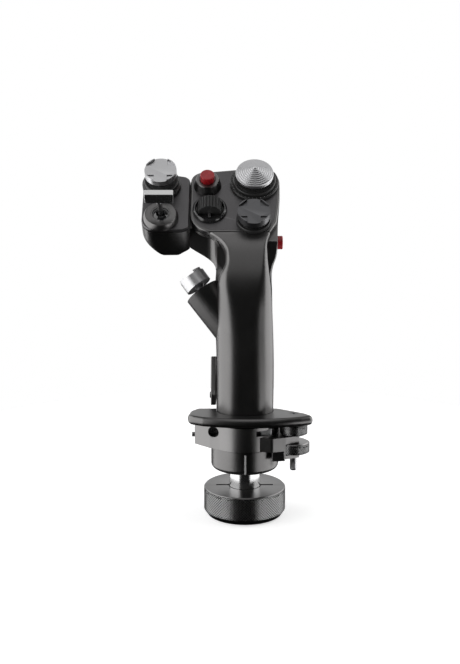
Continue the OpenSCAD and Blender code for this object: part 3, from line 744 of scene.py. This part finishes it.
def make_hand_rest():
    """The plate with a full round edge and a notch at its back for the handle."""
    low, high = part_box("hand_rest")
    bottom, top, lip = low.z / MM, high.z / MM, 2.6
    levels = 16
    front = arc(3, 66.8, 92, -109, -69.5, 40)
    outline = rounded([*front, (43, -15.8), (38, -8.2), (29, -1.2), (21, 4.5), (18.1, 4.5), (-18.1, 4.5),
                       (-30.2, 4.5), (-34.6, -2), (-36.3, -14.5)],
                      [0] * len(front) + [4.5, 8, 12, 4, 0, 0, 3.2, 6, 8], 8)
    way = [*arc(4.5, -2, 13.6, 0, -90, 16), *arc(-4.5, -2, 13.6, -90, -180, 16)]
    rings = []
    for k in range(levels + 1):
        a = math.pi * k / levels
        ring = inset(outline, 0.05 + lip * (1 - math.sin(a) ** 0.8))
        middle = min(i for i in range(len(front), len(ring)) if ring[i][0] < -18)
        ring = ring[:middle] + way + ring[middle:]
        z = (bottom + top) / 2 - (top - bottom) / 2 * math.cos(a)
        rings.append([(x, y, z) for x, y in ring])
    plate = loft("hand_rest_detail", rings)
    cut(plate, disc("screw_seat", 2.6, top - 1.2, top + 5, STUD_AT),
        block("index", (0.2, -27, bottom + 1.4), (0.55, -24.9, top - 1.4)))
    piece(plate, "palm_rest", "black_metal", ["hand_rest"], sharp=48)


# ---- Handle shells ----

WALL = 2.5
RIM = 1.6
SEAM_Y = 4
FACE_Y = -15
GRIP_LOW = 61.2
# The face rises straight, then sweeps back on an arc until it meets the panel's slope
TILT = math.radians(46)
SWEEP_R = (SEAM_Y - FACE_Y) / (1 - math.cos(TILT))
SWEEP_AT = (FACE_Y + SWEEP_R, 134.5)
STRAIGHT = SWEEP_AT[1] - GRIP_LOW
SWEEP_LEN = SWEEP_R * TILT

# Curves of the pilot-side shell against the distance along its face
FRONT_LEFT = [(0, -17.5), (78, -17.5), (87, -17.3), (94, -15.8), (101.5, -12.6), (109, -12.0), (113, -12.9),
              (117, -15.2), (120.5, -18.4), (123.4, -22)]
FRONT_RIGHT = [(0, 17.9), (45, 17.9), (86, 15.7), (104, 13.7), (114, 13.4), (119, 14.2), (123.5, 15.4)]
FRONT_DEPTH = [(0, 19), (STRAIGHT, 19), (92, 17.4), (101, 14.9), (109, 11.4), (117, 6.2), (120.5, 3.9),
               (123.5, 3.9)]
FRONT_EDGE = [(0, 13), (60, 13), (84, 9), (100, 4.5), (112, 2.4), (123.5, 1.4)]
# Curves of the far-side shell against height
REAR_LEFT = [(61, -18.1), (108, -18.1), (120, -18.7), (146, -18.7), (152, -18.3), (156, -18.3),
             (159.4, -20.3), (163, -25), (166, -30), (168.6, -34.2), (240, -34.2)]
REAR_RIGHT = [(61, 17.9), (106, 17.9), (140, 16.9), (152, 16.7), (158, 17.6), (164, 19.7), (182, 20.5),
              (200, 22.4), (240, 22.4)]
REAR_BACK = [(61, 23), (130, 23), (142, 25), (157, 31), (172, 39.5), (186, 46.5), (196, 49.5), (207, 54.5),
             (214, 54.5), (240, 54.5)]
REAR_CORNER = [(61, 0.4), (146, 0.4), (152, 3), (158, 4), (166, 3), (173, 2), (240, 2)]
# Lower left sweep of the head's edge, across and up the slope
HEAD_SWEEP = [(-34.4, 20), (-34.2, 14), (-33.6, 10.5), (-32.4, 7.4), (-30.6, 5), (-28.4, 3.1), (-25.8, 1.5),
              (-23, 0.5)]


def face_frame(s):
    """Point (y, z) and outward direction of the pilot-side face at distance s from its foot."""
    if s <= STRAIGHT:
        return (FACE_Y, GRIP_LOW + s), (-1, 0)
    a = math.pi - (s - STRAIGHT) / SWEEP_R
    return ((SWEEP_AT[0] + SWEEP_R * math.cos(a), SWEEP_AT[1] + SWEEP_R * math.sin(a)),
            (math.cos(a), math.sin(a)))


def u_path(left, right, depth, corner, lift=0.0):
    """Open path of (x, depth) points: down the left side, across the face and up the right side."""
    steps = 10
    quarter = [math.pi / 2 * k / steps for k in range(steps + 1)]
    r = min(corner, depth - 0.05)
    path = [(left, depth - (depth - r) * k / 4) for k in range(4)]
    path += [(left + r - r * math.cos(a), r - r * math.sin(a)) for a in quarter]
    path += [(left + r + (right - r - left - r) * k / 8, 0) for k in range(1, 8)]
    path += [(right - r + r * math.sin(a), r - r * math.cos(a)) for a in quarter]
    path += [(right, r + (depth - r) * k / 4) for k in range(1, 5)]
    return [(x, w + lift) for x, w in path]


def stalk_way():
    """The space that the side stalk takes in the shells."""
    return placed(disc("stalk_way", 11.66, -8, 42, segments=96), STALK_MM)


def make_front_shell():
    """The pilot-side shell: a walled sweep whose face runs into the tray round the panel."""
    outer, inner = [], []
    start, end = 0.15, STRAIGHT + SWEEP_LEN - 0.12
    count = 72
    for k in range(count + 1):
        s = start + (end - start) * k / count
        (y, z), (ny, nz) = face_frame(s)
        left, right = smooth_curve(FRONT_LEFT, s), smooth_curve(FRONT_RIGHT, s)
        depth, corner = smooth_curve(FRONT_DEPTH, s) - 0.04, smooth_curve(FRONT_EDGE, s)
        foot = 0.35 if k == 0 else 0
        out_path = u_path(left + foot, right - foot, depth - foot, corner, foot)
        in_path = u_path(left + WALL, right - WALL, depth - WALL, max(0.4, corner - WALL), WALL)
        outer.append([(x, y - w * ny, z - w * nz) for x, w in out_path])
        inner.append([(x, y - w * ny, z - w * nz) for x, w in in_path])
    shell = shell_loft("pilot_side_shell_detail", outer, inner)
    cut(shell, stalk_way())
    tray = prism("tray", head_outline(), -4, 0)
    soften(tray, 0.9, 4, 50)
    cut(tray, prism("tray_space", inset(head_outline(), WALL), -20, 5),
        prism("panel_seat", inset(head_outline(), RIM), -2.5, 5))
    join(shell, placed(tray, PANEL_MM))
    piece(shell, "grip", "black_metal", ["front_shell"], sharp=55)


def rear_ring(z, wall):
    """One level of the far-side shell, or of the space inside it when wall > 0."""
    left, right = smooth_curve(REAR_LEFT, z) + wall, smooth_curve(REAR_RIGHT, z) - wall
    back = smooth_curve(REAR_BACK, z) - wall
    seam = SEAM_Y + 0.04 + wall
    depth = back - seam
    corner = min(13, 0.42 * depth + 5, depth * 0.9) - wall
    nose = min(smooth_curve(REAR_CORNER, z), depth * 0.4)
    ring = []
    for x, w in u_path(left, right, depth, max(corner, 1)):
        over = w - (depth - nose)
        pull = nose - math.sqrt(max(0, nose ** 2 - over ** 2)) if over > 0 and not wall else 0
        ring.append((x + pull * (1 if x < (left + right) / 2 else -0.3), back - w, z))
    return ring


def make_rear_shell():
    """The far-side shell with its trigger slot, cut off at the panel's slope and round the head."""
    count, floor, top = 84, 0.15 + GRIP_LOW, 222.15
    levels = [floor + (top - floor) * k / count for k in range(count + 1)]
    shell = loft("far_side_shell_detail", [rear_ring(z, 0) for z in levels])
    space = loft("space", [rear_ring(z, WALL) for z in levels[2:]])
    room = placed(prism("head_room", inset(head_outline(), WALL + 0.6), -70, 10), PANEL_MM)
    keep(space, add(block("neck_room", (-60, -60, 0), (60, 60, 170)), room))
    cut(space, block("sweep_wall", (-60, -60, 153), (-15.5, 17, 185)))
    cut(shell, space, block("neck_opening", (-10, 0, 64), (10.5, 8, 172)))
    cut(shell, placed(block("above", (-60, -80, -4.02), (60, 140, 80)), PANEL_MM))
    trim = [(-36, -140), (24, -140), (24, 30), *arc(13.5, 42, 9, 0, 60, 8), (-5.9, 52.9), (-19.1, 51.4),
            *arc(-26.4, 42.6, 8, 100, 180, 8)]
    keep(shell, placed(prism("trim", trim, -120, 10), PANEL_MM))
    slot = placed(prism("trigger_slot", [(30, 158), (70, 158), (70, 190), (31, 190)], -6.8, 6.8), SIDE_VIEW)
    set_back_plan = rounded([(-17.4, -20), (-17.4, 14.3), (-44, 14.3), (-44, -20)], [0, 7, 0, 0], 10)
    set_back = prism("set_back", set_back_plan, 156, 200)
    cut(set_back, placed(block("lip", (-60, -80, -6.2), (60, 140, 80)), PANEL_MM))
    sweep_plan = [(-44, 20), *HEAD_SWEEP, (-20.5, -1), (-18.4, -3), (-16.9, -5), (-15, -7), (-15, -30),
                  (-44, -30)]
    sweep = placed(prism("sweep", sweep_plan, -6.3, 1), PANEL_MM)
    button = placed(disc("button_way", 5.6, -7, 13), SIDE_BUTTON_MM)
    cut(shell, slot, stalk_way(), button, set_back, sweep)
    piece(shell, "grip", "black_metal", ["rear_shell"], sharp=40)


def head_outline():
    """The head panel's edge, with the sweeping lower left corner."""
    right = rounded([(15.3, 0.12), (19.6, 8.5), (21.6, 23.3), (22.4, 36.3)], [0, 6, 12, 0], 6)
    top = rounded([(17.6, 49.9), (-5.9, 52.9), (-19.1, 51.4), (-27.8, 50.5)], [0, 8, 8, 0], 4)
    return [(-21.6, 0.12), (15.3, 0.12), *right[1:], *arc(13.4, 42, 9, 0, 62, 8), *top[1:-1],
            *arc(-26.4, 42.6, 8, 100, 180, 10), (-34.4, 30), *HEAD_SWEEP]


def make_head_panel():
    """The sloping plate that the head's controls stand in."""
    plate = prism("head_panel_detail", inset(head_outline(), RIM + 0.12), -2.45, 0)
    controls = [("right_hat_tilt_up", 8), ("cone_hat_tilt_up", 10), ("roller_turn", 9.7),
                ("top_button_press", 6.1)]
    cut(plate, *[disc("hole", r, -5, 5, panel_spot(joint)) for joint, r in controls])
    soften(plate, 0.35, 3, 40)
    piece(plate, "grip", "panel_metal", ["head_panel"], PANEL, sharp=60)


# ---- Pod ----

POD_RIGHT, POD_LEFT = -34.9, -64.7


def pod_outline():
    """The pod's edge: straight at its right, rounded at its left."""
    return [(POD_RIGHT, 3.6), (POD_RIGHT, 42), *arc(POD_RIGHT - 5, 42, 5, 0, 80, 6)[1:],
            *arc(POD_LEFT + 11, 38.5, 11, 84, 180, 12), *arc(POD_LEFT + 9, 10.5, 9, 180, 262, 10),
            (POD_RIGHT - 4, 1.7)]


def pod_holes(low, high):
    """The holes of the left hat and of the toggle."""
    return disc("hole", 8, low, high, panel_spot("left_hat_tilt_up")), disc("hole", 7.2, low, high, TOGGLE_AT)


def make_pod():
    """The pod beside the head: a plate over a housing that rounds in towards its floor."""
    plate = prism("pod_panel_detail", pod_outline(), -2.4, 0)
    cut(plate, *pod_holes(-5, 5))
    soften(plate, 0.9, 4, 40)
    piece(plate, "grip", "panel_metal", ["pod_panel"], PANEL, sharp=60)
    rings = []
    top, floor, levels = -2.5, -26.9, 40
    left_r, end_r, right_drop, middle_u, length = 16.3, 3.5, 7, 24.5, 48
    for k in range(levels + 1):
        n = top + (floor - top) * k / levels
        left = POD_LEFT + fillet_gap(left_r, floor + left_r - n)
        right = POD_RIGHT - 9 * (max(0, floor + right_drop - n) / right_drop) ** 1.5
        wide = (right - left) / (POD_RIGHT - POD_LEFT)
        tall = 1 - 2 * fillet_gap(end_r, floor + end_r - n) / length
        rings.append([(right + (x - POD_RIGHT) * wide, middle_u + (u - middle_u) * tall, n)
                      for x, u in pod_outline()])
    housing = loft("pod_housing_detail", rings)
    cut(housing, *pod_holes(-11, 1))
    piece(housing, "grip", "black_metal", ["pod_housing"], PANEL, sharp=50)
    # A thin near-black strip in the gap between the pod and the head: painted shade in the gap.
    pod_gap_shade = block("pod_gap_shade_detail", (POD_RIGHT, 5.2, -8.4), (-34.42, 44.5, -3))
    piece(pod_gap_shade, "grip", "black_plastic", (), PANEL)


# ---- Hats ----

def hat_cap(name, r, low, high, where, body, slot, node, ear=0.9):
    """A flat cap with a raised ear on each of its four corners and a sunk pocket inside each ear."""
    plate = high - ear
    cap = disc(name, r, low, plate, segments=128)
    spread = math.radians(21)
    tip, chord = 0.40 * r * math.sqrt(2), 0.99 * r * math.cos(spread)
    for quarter in range(4):
        middle = math.radians(45 + 90 * quarter)
        turn = Matrix.Rotation(middle, 4, "Z")
        edge = [(0.995 * r * math.cos(a), 0.995 * r * math.sin(a))
                for a in [-spread + 2 * spread * k / 10 for k in range(11)]]
        corner = [(tip, 0), (chord, tip - chord), (chord, chord - tip)]
        cut(cap, placed(prism("pocket", corner, plate - 0.7, high + 1), turn))
        add(cap, placed(prism("ear", edge, plate - 0.3, high), turn))
    soften(cap, 0.14, 2, 50)
    join(cap, revolve("stem", [
        (0.01, -2.5), (2, -2.5), (2, low - 2), (3.6, low + 0.1), (0.01, low + 0.1)], 48))
    piece(cap, body, slot, [node], where, sharp=35)


def hat_base(name, cup_r, steps, where, node, marks=0, mark_r=0.0, mark_z=0.0):
    """A stack of rings round the cap's foot, with grooves and small index marks."""
    profile = [(cup_r - 1.4, -7.5), (cup_r - 0.2, -7.5), (cup_r - 0.2, 0)]
    for r, low, high in steps:
        profile += [(r - 0.1, low), (r, low + 0.15), (r, high - 0.5), (r - 0.45, high)]
    top_r, top = steps[-1][0], steps[-1][2]
    profile += [(top_r - 1.3, top), (top_r - 1.5, top - 0.3), (top_r - 1.9, top - 0.3), (top_r - 2.1, top),
                (cup_r - 1.4, top)]
    piece(revolve(name, profile, 128), "grip", "black_plastic", [node], where, sharp=30)
    if marks:
        turns = [TAU * (k + 0.5) / marks for k in range(marks)]
        spots = [(mark_r * math.cos(a), mark_r * math.sin(a)) for a in turns]
        dots = join(*[disc("dot", 0.22, mark_z, mark_z + 0.05, spot, 10) for spot in spots])
        dots.name = name.replace("detail", "marks")
        piece(dots, "grip", "light_marks_and_groove_highlight", (), where)


def make_hats():
    """The three castle hats: two on the panel and one on the side stalk."""
    r, cup_r = 10.1, 7.8
    left, right = control("left_hat_tilt_up"), control("right_hat_tilt_up")
    hat_cap("left_hat_cap_detail", r, 10.8, 15.5, left, "left_hat", "silver_metal", "left_hat_cap")
    hat_base("left_hat_base_detail", cup_r, [(12.3, 0, 3), (11.7, 3, 3.6), (11, 3.6, 6.2)], left,
             "left_hat_base")
    hat_cap("right_hat_cap_detail", r, 5, 10, right, "right_hat", "dark_metal", "right_hat_cap")
    hat_base("right_hat_base_detail", cup_r, [(10.8, 0, 2.4)], right, "right_hat_base", 48, 10.2, 2.2)
    hat_cap("side_hat_cap_detail", 8.5, 4.2, 13.2, SIDE_HAT, "side_hat", "silver_metal", "side_hat_cap", 1.5)
    hat_base("side_hat_base_detail", 6.9, [(8.7, -1.3, 0.6)], SIDE_HAT, "side_hat_base")


def make_cone_hat():
    """The hat with a stepped cone on a plain round skirt."""
    where = control("cone_hat_tilt_up")
    steps, r, low, rise, skirt = 10, 12, 7.6, 0.55, 2
    foot = low + skirt
    profile = [(0.01, low), (r - 0.4, low), (r, low + 0.4), (r, foot - 0.15), (r - 0.15, foot),
               (r - 0.2, foot + 0.3), (r - 0.3, foot + rise)]
    for k in range(1, steps):
        edge, z = r * (1 - k / steps), foot + rise * k
        profile += [(edge + 0.16, z), (edge, z + 0.12), (edge - 0.02, z + rise - 0.1),
                    (edge - 0.14, z + rise)]
    profile.append((0.01, foot + rise * steps))
    cap = revolve("cone_hat_cap_detail", profile, 160)
    join(cap, revolve("stem", [(0.01, -2.5), (2.2, -2.5), (2.2, 5.5), (6, low), (0.01, low)], 48))
    piece(cap, "cone_hat", "silver_metal", ["cone_hat_cap"], where, sharp=30)
    hat_base("cone_hat_base_detail", 9.8, [(15.5, 0, 2.2), (13.6, 2.2, 4.2)], where, "cone_hat_base",
             36, 14.5, 2.2)


# ---- Toggle, roller and buttons ----

def make_toggle():
    """The toggle: a T-bar on a waisted stem that comes out of a conical boss."""
    where = control("toggle_tilt")
    boss = revolve("toggle_boss_detail", [
        (5.4, -7.5), (6.9, -7.5), (6.9, 0), (10.9, 0), (11, 0.3), (11, 1.6), (10.2, 3.6), (9.6, 4.3),
        (9.0, 4.5), (6.3, 4.5), (6.1, 4.1), (5.4, 4.0)], 128)
    piece(boss, "grip", "black_metal", ["toggle_boss"], where, sharp=30)
    cup = revolve("toggle_cup_detail", [
        (2.7, 4.3), (3.2, 4.1), (4.4, 3.3), (5.1, 3.4), (5.35, 3.9), (5.35, 1.2), (2.7, 1.2)], 96)
    piece(cup, "grip", "gloss_black", (), where, sharp=40)
    half_x, half_y, low, high = 8.75, 2.2, 15.8, 23.4
    bar = block("toggle_lever_detail", (-half_x, -half_y, low), (half_x, half_y, high))
    soften(bar, 0.45, 3)
    join(bar, revolve("stem", [
        (0.01, -1.2), (2.4, -1.2), (2.55, 0.5), (2.4, 2.0), (1.7, 2.6), (1.55, 9), (1.75, 13), (2.3, 14.8),
        (2.3, 15.9), (0.01, 15.9)], 64))
    piece(bar, "toggle", "polished_steel", ["toggle_lever"], where, sharp=50)


def make_roller():
    """The ribbed thumb roller, half sunk in its round bezel."""
    where = control("roller_turn")
    bezel = revolve("roller_bezel_detail", [
        (0.01, -8.9), (9.5, -8.9), (9.5, 0), (10.9, 0), (11, 0.3), (10.6, 1.8), (9.8, 2.4), (9.2, 2.3),
        (8.4, 1.2), (0.01, 0.8)], 128)
    cut(bezel, block("opening", (-8.1, -5.1, -12), (8.1, 5.1, 12)))
    soften(bezel, 0.3, 3, 50)
    piece(bezel, "grip", "gloss_black", ["thumb_wheel_bezel"], where, sharp=40)
    ribs, r, half = 24, 7.6, 4.7
    rib = ((0.0, r - 0.55), (0.14, r - 0.5), (0.24, r - 0.12), (0.4, r), (0.74, r), (0.9, r - 0.12))
    outline = []
    for k in range(ribs):
        a = TAU * k / ribs
        for share, out in rib:
            b = a + share * TAU / ribs
            outline.append((out * math.cos(b), out * math.sin(b)))
    wheel = prism("thumb_roller_detail", outline, -half, half)
    soften(wheel, 0.25, 2, 60)
    placed(wheel, Matrix.Rotation(math.radians(-90), 4, "X"))
    placed(wheel, Matrix.Translation((0, 0, PIVOT_N["roller_turn"])))
    piece(wheel, "roller", "black_plastic", ["thumb_wheel"], where, sharp=40)


def button_cap(name, r, top, where, body, node):
    """A red cap with a rounded rim, hollow below for its spring."""
    low, bore, bore_top, rim = -2.9, r - 1.2, 1, 0.6
    cap = revolve(name, [
        (0.01, bore_top), (bore, bore_top), (bore, low), (r, low), (r, top - 0.7),
        *arc(r - rim, top - rim, rim, 0, 90, 5), (r * 0.6, top - 0.04), (0.01, top - 0.12)], 96)
    piece(cap, body, "red_plastic", [node], where, sharp=50)


def make_buttons():
    """The thumb button on the panel and the button in the right flank, each in its collar."""
    low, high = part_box("top_button")
    where = local_frame((low + high) / 2 - OUT * 3.7 * MM, RIGHT, OUT)
    button_cap("thumb_button_detail", 4.5, 10.4, where, "thumb_button", "top_button")
    collar = revolve("thumb_button_collar_detail", [
        (4.65, -7.5), (5.9, -7.5), (5.9, 0), (8.7, 0), (8.8, 0.3), (8.6, 1.0), (7.5, 5.6), (7.0, 6.2),
        (5.4, 6.2), (5.1, 5.9), (4.65, 5.8)], 128)
    piece(collar, "grip", "black_metal", ["top_button_collar"], where, sharp=30)
    button_cap("flank_button_detail", 4.25, 5.6, SIDE_BUTTON, "flank_button", "side_button")
    ring = revolve("flank_button_collar_detail", [
        (4.4, -5), (5.45, -5), (5.45, 0.65), (6.15, 0.65), (6.2, 0.9), (6.0, 1.13), (5.0, 1.15),
        (4.4, 1.0)], 96)
    piece(ring, "grip", "black_metal", ["side_button_collar"], SIDE_BUTTON, sharp=30)


# ---- Stalk and levers ----

def make_stalk():
    """The tube from the handle's left flank to the side hat."""
    from_hat = STALK_MM.inverted() @ to_mm(SIDE_HAT)
    tube = disc("side_stalk_detail", 11.6, -3, 45, segments=128)
    cut(tube, placed(block("beyond", (-40, -40, 0), (40, 40, 60)), from_hat),
        placed(block("inside", (-15.2, -50, 0), (60, 60, 250)), STALK_MM.inverted()))
    cut(tube, placed(disc("well", 9, -1.4, 5), from_hat), placed(disc("bore", 7, -12, 5), from_hat))
    soften(tube, 0.5, 3, 45)
    piece(tube, "grip", "black_metal", ["side_stalk"], STALK, sharp=50)


def side_plate(name, outline, from_x, to_x, edge):
    """A slab of a side-view outline (depth, height), with its edges rounded."""
    return soften(face_outwards(placed(prism(name, outline, from_x, to_x), SIDE_VIEW)), edge, 3, 40)


def make_levers():
    """The trigger, and the paddle lever with its wing and the boss round its pin."""
    trigger = side_plate("trigger_detail", rounded([
        (33, 178), (43, 172.2), (44.8, 166), (44.6, 154), (48.4, 148), (51.5, 149), (49, 155), (49.4, 164),
        (52.4, 172), (52.4, 179), (47.5, 185), (40, 187), (33, 185)],
        [1, 2, 8, 6, 1.4, 1.4, 6, 8, 6, 5, 4, 2, 2], 6), -6, 6, 0.9)
    piece(trigger, "trigger", "dark_metal", ["trigger"], sharp=50)
    lever = side_plate("paddle_lever_detail", rounded([
        (12.6, 67), (31, 67), (31, 95), (28, 96.5), (25.5, 93), (16, 79), (12.5, 74)],
        [2, 2, 1.2, 1, 4, 5, 3], 6), -21.9, -18.4, 0.7)
    wing = side_plate("wing", rounded([(27.7, 72), (31, 72), (31, 95), (28.4, 96.4), (27.7, 95.8)],
                                      [0.8, 0.8, 1, 0.6, 0.4], 4), -21.5, 14, 0.6)
    join(lever, wing)
    boss = revolve("boss", rounded([(2.1, 0), (5, 0), (5, 1.4), (2.1, 1.4)], 0.4, 3), 64)
    join(lever, placed(boss, local_frame((-18.5, 17.5, 73), (0, 1, 0), (-1, 0, 0))))
    piece(lever, "brake", "black_metal", ["brake_lever"], sharp=50)


# ---- CAD pieces that keep their shape ----

def finish_cad_nodes():
    """Gives each CAD node the look of its material."""
    slots = {s["node"]: s["material_slot"] for s in frame["record"]["subparts"]}
    for node, obj in frame["nodes"].items():
        obj.data.materials.clear()
        obj.data.materials.append(SURFACES[slots[node]])


make_camera()
make_world()
make_lights()
make_floor()
finish_cad_nodes()
make_ring()
make_shaft()
make_lower_collar()
make_clamp_collar()
make_adjuster()
make_hand_rest()
make_front_shell()
make_rear_shell()
make_head_panel()
make_pod()
make_hats()
make_cone_hat()
make_toggle()
make_roller()
make_buttons()
make_stalk()
make_levers()
bpy.context.scene.view_settings.view_transform = "Standard"
